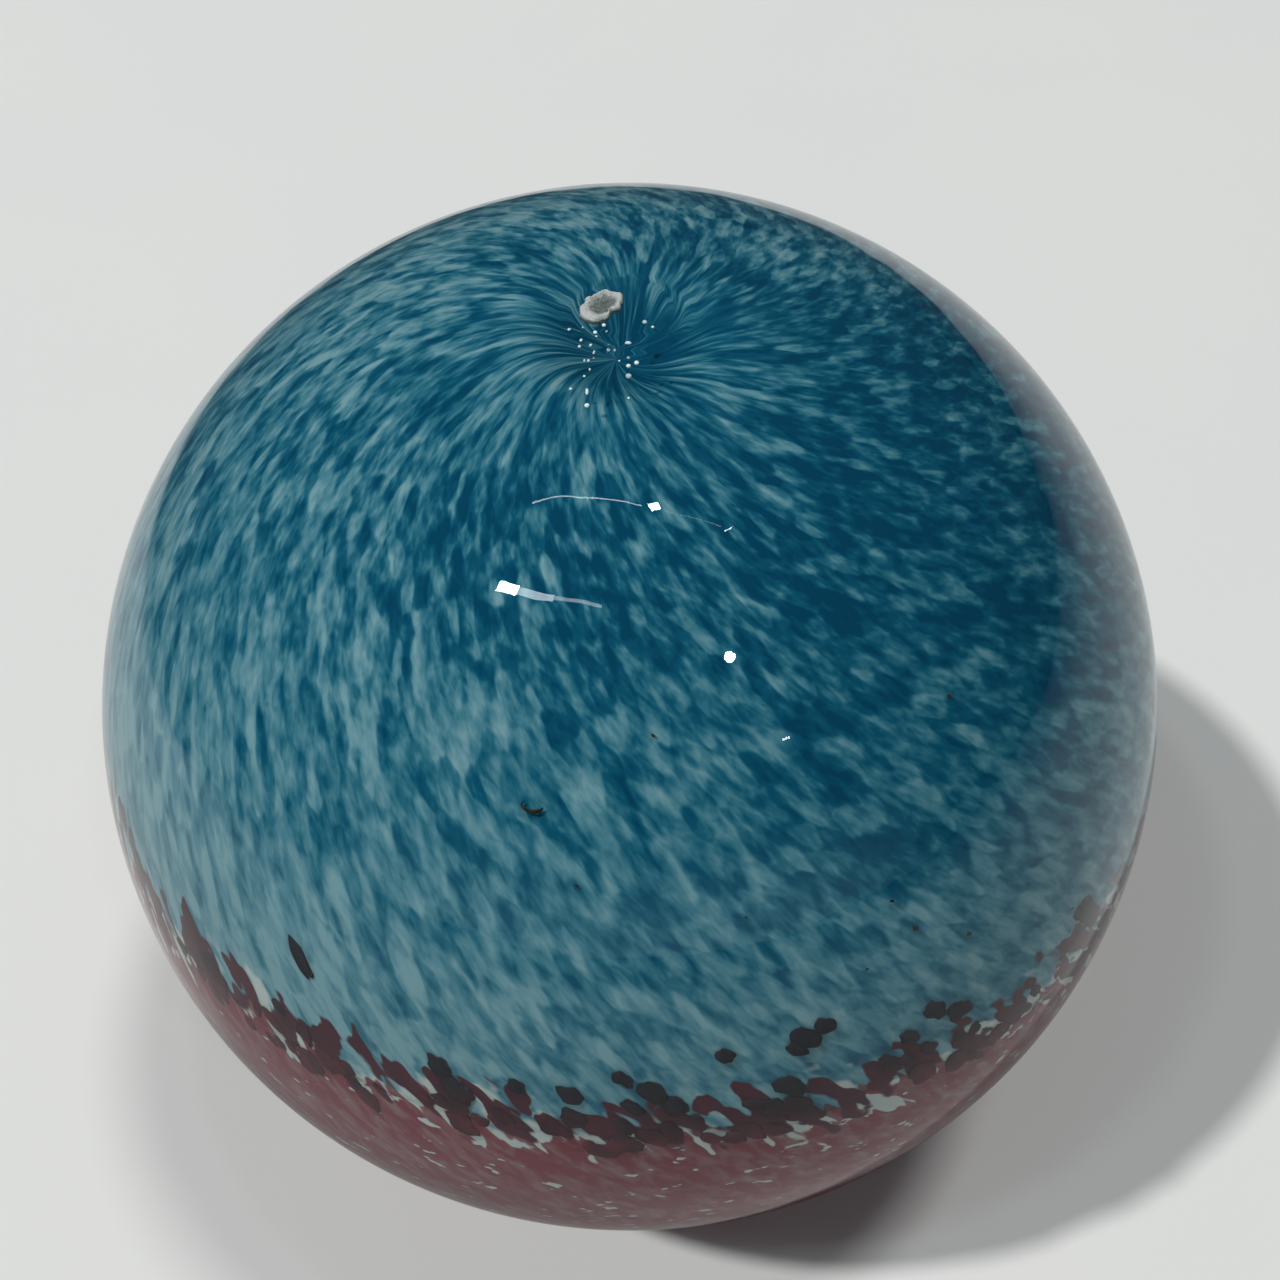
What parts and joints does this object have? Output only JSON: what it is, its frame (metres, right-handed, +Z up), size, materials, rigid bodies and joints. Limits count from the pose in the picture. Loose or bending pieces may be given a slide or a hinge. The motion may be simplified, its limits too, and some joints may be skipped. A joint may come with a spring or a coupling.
{
  "type": "paperweight",
  "caption": "Solid glass paperweight: a clear near-sphere over swirled turquoise frit with a ruby underside, standing on a ground flat base.",
  "frame": {"origin": "centre of the ground flat base", "axes": "+Z up along the axis of the gather, through the middle of the throat; +X to the right and -Y towards the front, where the border of the two colours stands higher"},
  "size_m": [0.08, 0.08, 0.0754],
  "materials": {
    "clear_glass": "polished clear glass",
    "opal_glass": "milky opal glass, fused",
    "turquoise_glass": "transparent turquoise frit, fused",
    "ruby_glass": "transparent ruby frit, fused",
    "dark_ruby_glass": "ruby frit over turquoise, fused",
    "dark_speck": "scorched speck",
    "broken_glass": "rough broken glass"
  },
  "bodies": {
    "root": {"clear_core": "clear_glass", "opal_ground_layer": "opal_glass", "turquoise_frit_layer": "turquoise_glass", "ruby_frit_cup": "ruby_glass", "ruby_border_grains": "dark_ruby_glass", "dark_inclusions": "dark_speck", "throat_plug": "clear_glass", "break_off_scar": "broken_glass", "clear_casing": "clear_glass"}
  },
  "joints": []
}
